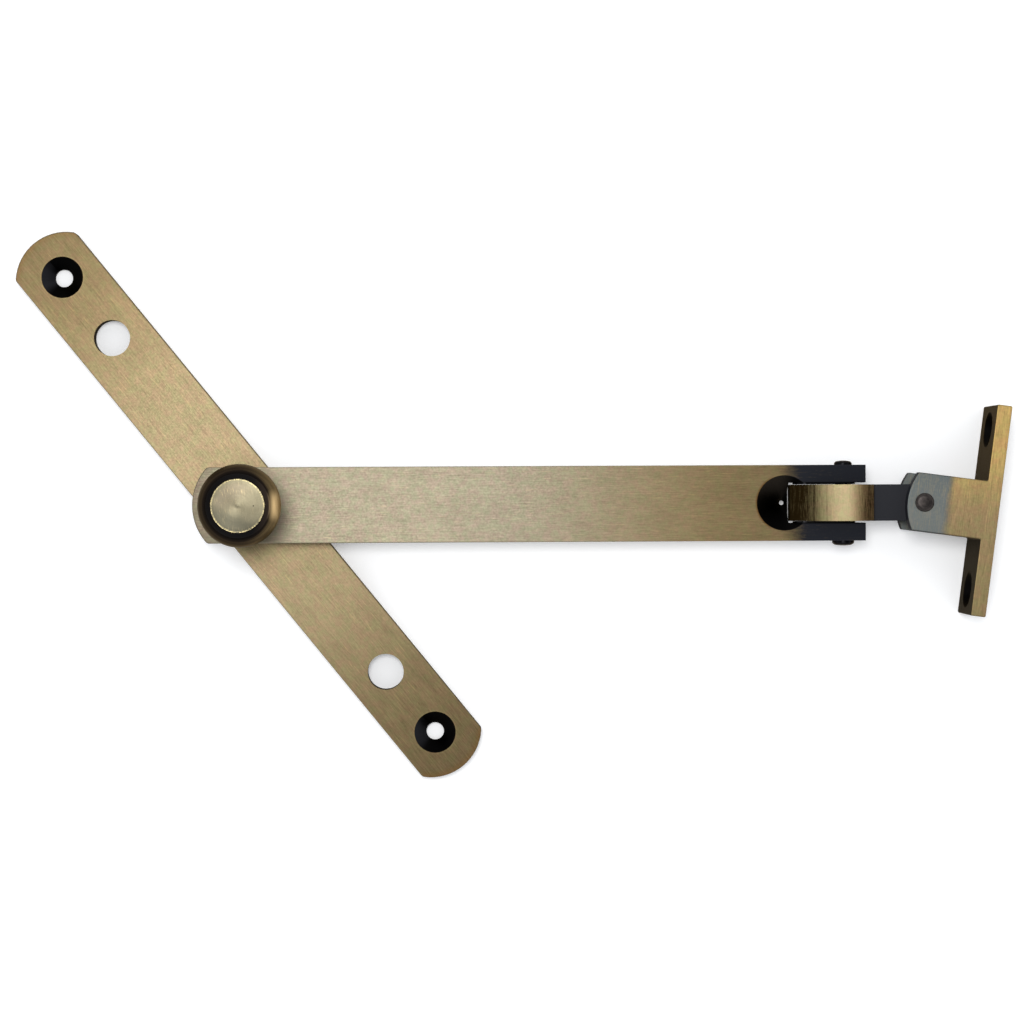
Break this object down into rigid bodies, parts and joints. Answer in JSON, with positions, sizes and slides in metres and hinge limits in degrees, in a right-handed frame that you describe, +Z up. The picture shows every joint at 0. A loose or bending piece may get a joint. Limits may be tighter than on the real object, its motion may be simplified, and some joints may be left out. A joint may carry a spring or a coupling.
{
  "type": "friction stay hinge",
  "caption": "Casement friction stay: screw-down base plate, knob-clamped swinging arm, and a forked end with a tilting link to a swivelling T-shaped sash bracket.",
  "frame": {"origin": "centre of the base plate's underside, on the arm pivot's axis and midway between the two countersunk frame screw holes", "axes": "+X along the base plate through its holes, towards the side that the arm is swung to; +Z up out of the plate, along the pivot stud and the knob"},
  "size_m": [0.2207, 0.1748, 0.035],
  "materials": {
    "antique_brass": "chemically darkened, then brushed along the grain",
    "turned_brass": "turned, darkened, with the top faced bright",
    "blackened_steel": "blackened, satin",
    "bronze_bush": "plain bearing bronze, machined",
    "friction_nylon": "matte black nylon",
    "plain_steel": "bright zinc, machined"
  },
  "bodies": {
    "base": {"base_plate": "antique_brass", "pivot_stud": "plain_steel", "lower_friction_washer": "friction_nylon", "thrust_washer": "plain_steel", "stop_screw": "plain_steel"},
    "arm": {"arm": "antique_brass", "arm_bush": "bronze_bush", "upper_friction_washer": "friction_nylon", "transverse_rivet": "blackened_steel", "left_shim": "blackened_steel", "right_shim": "blackened_steel"},
    "springs": {"lower_disc_spring": "plain_steel", "upper_disc_spring": "plain_steel"},
    "knob": {"knob": "turned_brass", "knob_cap": "turned_brass"},
    "link": {"link": "antique_brass"},
    "sash": {"sash_bracket": "antique_brass", "swivel_rivet": "blackened_steel"}
  },
  "joints": [
    {"name": "arm_swing", "type": "hinge", "parent": "base", "child": "arm", "pos_m": [0, 0, 0], "axis": [0, 0, 1], "continuous": true},
    {"name": "knob_lift", "type": "slide", "parent": "base", "child": "springs", "axis": [0, 0, 1], "range_m": [0, 0.0015]},
    {"name": "knob_turn", "type": "hinge", "parent": "springs", "child": "knob", "pos_m": [0, 0, 0.02], "axis": [0, 0, 1], "range_deg": [0, 540]},
    {"name": "link_tilt", "type": "hinge", "parent": "arm", "child": "link", "pos_m": [0.09314, 0.11502, 0.00802], "axis": [0.7771, -0.6293, 0], "range_deg": [-120, 120]},
    {"name": "sash_swivel", "type": "hinge", "parent": "link", "child": "sash", "pos_m": [0.105, 0.12967, 0.00802], "axis": [0, 0, 1], "range_deg": [-90.5, 105.5]}
  ],
  "couplings": [
    {"joint": "knob_turn", "follows": "knob_lift", "rad_per_m": 6283.2}
  ]
}
